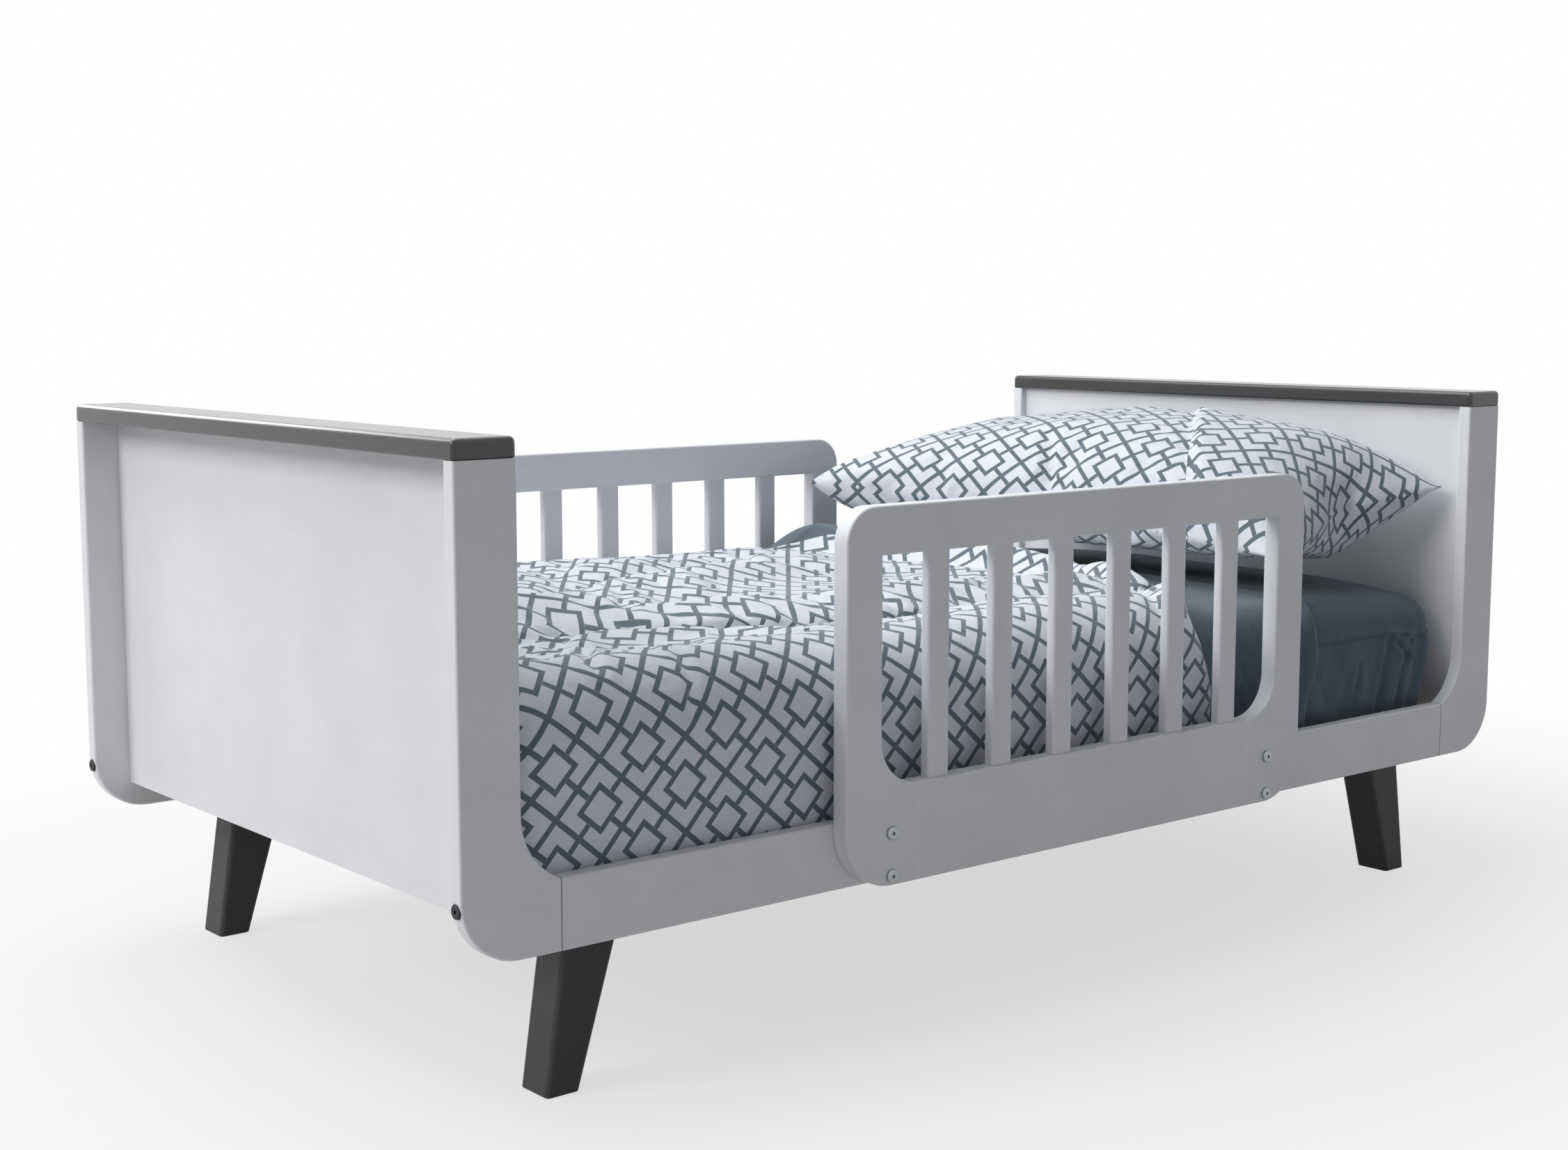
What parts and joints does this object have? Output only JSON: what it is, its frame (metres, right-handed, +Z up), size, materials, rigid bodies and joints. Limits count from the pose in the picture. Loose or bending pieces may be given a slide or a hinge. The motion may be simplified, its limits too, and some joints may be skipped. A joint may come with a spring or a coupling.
{
  "type": "toddler bed",
  "caption": "Low slatted toddler bed with L-shaped corner posts, end panels under dark caps, splayed legs, bolted guard rails on both sides, a mattress, comforter and pillow.",
  "frame": {"origin": "on the floor under the middle of the bed", "axes": "+X to the head end, -Y the front long side, +Z up"},
  "size_m": [1.4624, 0.8066, 0.579],
  "materials": {
    "white_paint": "satin",
    "charcoal_paint": "satin",
    "bare_wood": "matte",
    "zinc_steel": "satin",
    "black_steel": "satin",
    "ticking": "matte",
    "slate_cotton": "matte",
    "printed_cotton": "matte"
  },
  "bodies": {
    "frame": {"post_foot_front": "white_paint", "post_foot_back": "white_paint", "post_head_front": "white_paint", "post_head_back": "white_paint", "side_rail_front": "white_paint", "side_rail_back": "white_paint", "footboard_panel": "white_paint", "headboard_panel": "white_paint", "footboard_cap": "charcoal_paint", "headboard_cap": "charcoal_paint", "slat_cleat_front": "bare_wood", "slat_cleat_back": "bare_wood", "leg_foot_front": "charcoal_paint", "leg_foot_back": "charcoal_paint", "leg_head_front": "charcoal_paint", "leg_head_back": "charcoal_paint", "guard_front_stile_foot": "white_paint", "guard_front_stile_head": "white_paint", "guard_back_stile_foot": "white_paint", "guard_back_stile_head": "white_paint", "guard_front_top_rail": "white_paint", "guard_front_bottom_rail": "white_paint", "guard_front_slat_1": "white_paint", "guard_front_slat_2": "white_paint", "guard_front_slat_3": "white_paint", "guard_front_slat_4": "white_paint", "guard_front_slat_5": "white_paint", "guard_front_slat_6": "white_paint", "guard_back_top_rail": "white_paint", "guard_back_bottom_rail": "white_paint", "guard_back_slat_1": "white_paint", "guard_back_slat_2": "white_paint", "guard_back_slat_3": "white_paint", "guard_back_slat_4": "white_paint", "guard_back_slat_5": "white_paint", "guard_back_slat_6": "white_paint", "deck_slat_01": "bare_wood", "deck_slat_02": "bare_wood", "deck_slat_03": "bare_wood", "deck_slat_04": "bare_wood", "deck_slat_05": "bare_wood", "deck_slat_06": "bare_wood", "deck_slat_07": "bare_wood", "deck_slat_08": "bare_wood", "deck_slat_09": "bare_wood", "deck_slat_10": "bare_wood", "post_bolts": "black_steel", "post_barrel_nuts": "zinc_steel", "frame_dowels": "bare_wood", "leg_bolts": "zinc_steel", "leg_insert_nuts": "zinc_steel", "slat_screws": "zinc_steel", "guard_dowels": "bare_wood", "guard_bolts": "zinc_steel", "guard_insert_nuts": "zinc_steel"},
    "mattress": {"mattress": "ticking", "fitted_sheet": "slate_cotton", "top_sheet": "slate_cotton"},
    "comforter": {"comforter": "printed_cotton"},
    "pillow": {"pillow": "printed_cotton"}
  },
  "joints": [
    {"name": "mattress_lift", "type": "slide", "parent": "frame", "child": "mattress", "axis": [0, 0, 1], "range_m": [0, 0.42]},
    {"name": "comforter_lift", "type": "slide", "parent": "mattress", "child": "comforter", "axis": [0, 0, 1], "range_m": [0, 0.4]},
    {"name": "pillow_lift", "type": "slide", "parent": "comforter", "child": "pillow", "axis": [0, 0, 1], "range_m": [0, 0.3]}
  ]
}
